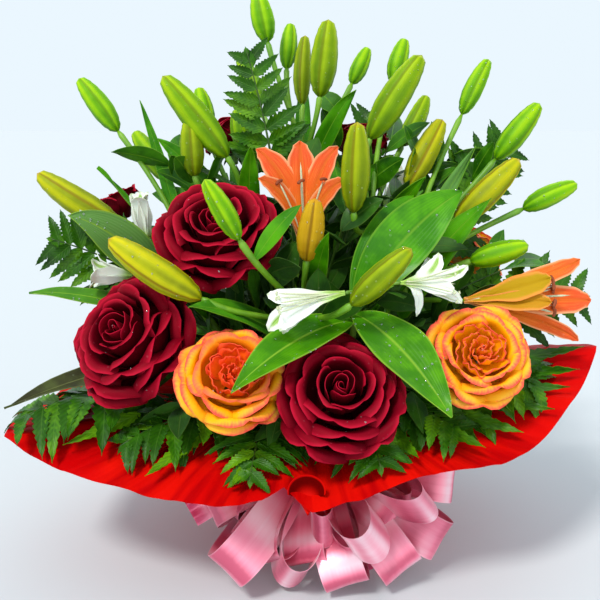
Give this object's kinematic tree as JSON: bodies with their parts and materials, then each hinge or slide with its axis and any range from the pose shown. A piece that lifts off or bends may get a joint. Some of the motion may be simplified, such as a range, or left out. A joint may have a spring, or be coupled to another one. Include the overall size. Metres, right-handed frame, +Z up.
{
  "type": "flower bouquet",
  "caption": "Hand-tied mixed bouquet of roses, lilies, alstroemeria and fern in a flared paper wrap with a satin ribbon bow, standing on its cut stems.",
  "frame": {"origin": "on the surface that the bouquet stands on, at the cut end of the middle stem, under the binding", "axes": "+Z up; front of the bouquet, with the bow, towards -Y; +X to the right as seen from the front"},
  "size_m": [0.5149, 0.3958, 0.508],
  "materials": {
    "red_petal": "velvety, soft sheen",
    "orange_petal": "soft, matte",
    "lily_petal": "smooth, slight sheen",
    "white_petal": "smooth, soft",
    "rose_green": "smooth, soft sheen",
    "lily_green": "smooth, waxy",
    "alstroemeria_green": "smooth, waxy",
    "fern_green": "leathery, slight gloss",
    "red_paper": "smooth, soft sheen",
    "pink_satin": "satin, glossy",
    "twine": "rough"
  },
  "bodies": {
    "root": {"wrap_paper": "red_paper", "ribbon_band": "pink_satin", "ribbon_bow": "pink_satin", "binding_twine": "twine", "rose_red_front_bloom": "red_petal", "rose_red_left_bloom": "red_petal", "rose_red_upper_bloom": "red_petal", "rose_red_far_left_bloom": "red_petal", "rose_red_top_left_bloom": "red_petal", "rose_red_top_right_bloom": "red_petal", "rose_red_back_bloom": "red_petal", "rose_orange_front_bloom": "orange_petal", "rose_orange_right_bloom": "orange_petal", "rose_orange_back_right_bloom": "orange_petal", "rose_red_front_stem": "rose_green", "rose_red_left_stem": "rose_green", "rose_red_upper_stem": "rose_green", "rose_red_far_left_stem": "rose_green", "rose_red_top_left_stem": "rose_green", "rose_red_top_right_stem": "rose_green", "rose_red_back_stem": "rose_green", "rose_orange_front_stem": "rose_green", "rose_orange_right_stem": "rose_green", "rose_orange_back_right_stem": "rose_green", "lily_stalk_front": "lily_green", "lily_stalk_top": "lily_green", "lily_stalk_top_right": "lily_green", "lily_stalk_right": "lily_green", "lily_stalk_top_left": "lily_green", "lily_stalk_left": "lily_green", "lily_bloom_front": "lily_petal", "lily_bloom_right": "lily_petal", "alstroemeria_spray_front": "alstroemeria_green", "alstroemeria_spray_left": "alstroemeria_green", "alstroemeria_spray_back": "alstroemeria_green", "alstroemeria_bloom_front": "white_petal", "alstroemeria_bloom_front_right": "white_petal", "alstroemeria_bloom_left": "white_petal", "alstroemeria_bloom_far_left": "white_petal", "alstroemeria_bloom_back": "white_petal", "fern_frond_front_left": "fern_green", "fern_frond_front": "fern_green", "fern_frond_front_right": "fern_green", "fern_frond_right_low": "fern_green", "fern_frond_right": "fern_green", "fern_frond_far_left": "fern_green", "fern_frond_back_right": "fern_green", "fern_frond_back": "fern_green", "fern_frond_back_left": "fern_green", "fern_frond_top": "fern_green", "fern_frond_upper_left": "fern_green", "fern_frond_upper_right": "fern_green", "fern_frond_right_high": "fern_green", "fern_frond_top_back": "fern_green"}
  },
  "joints": []
}
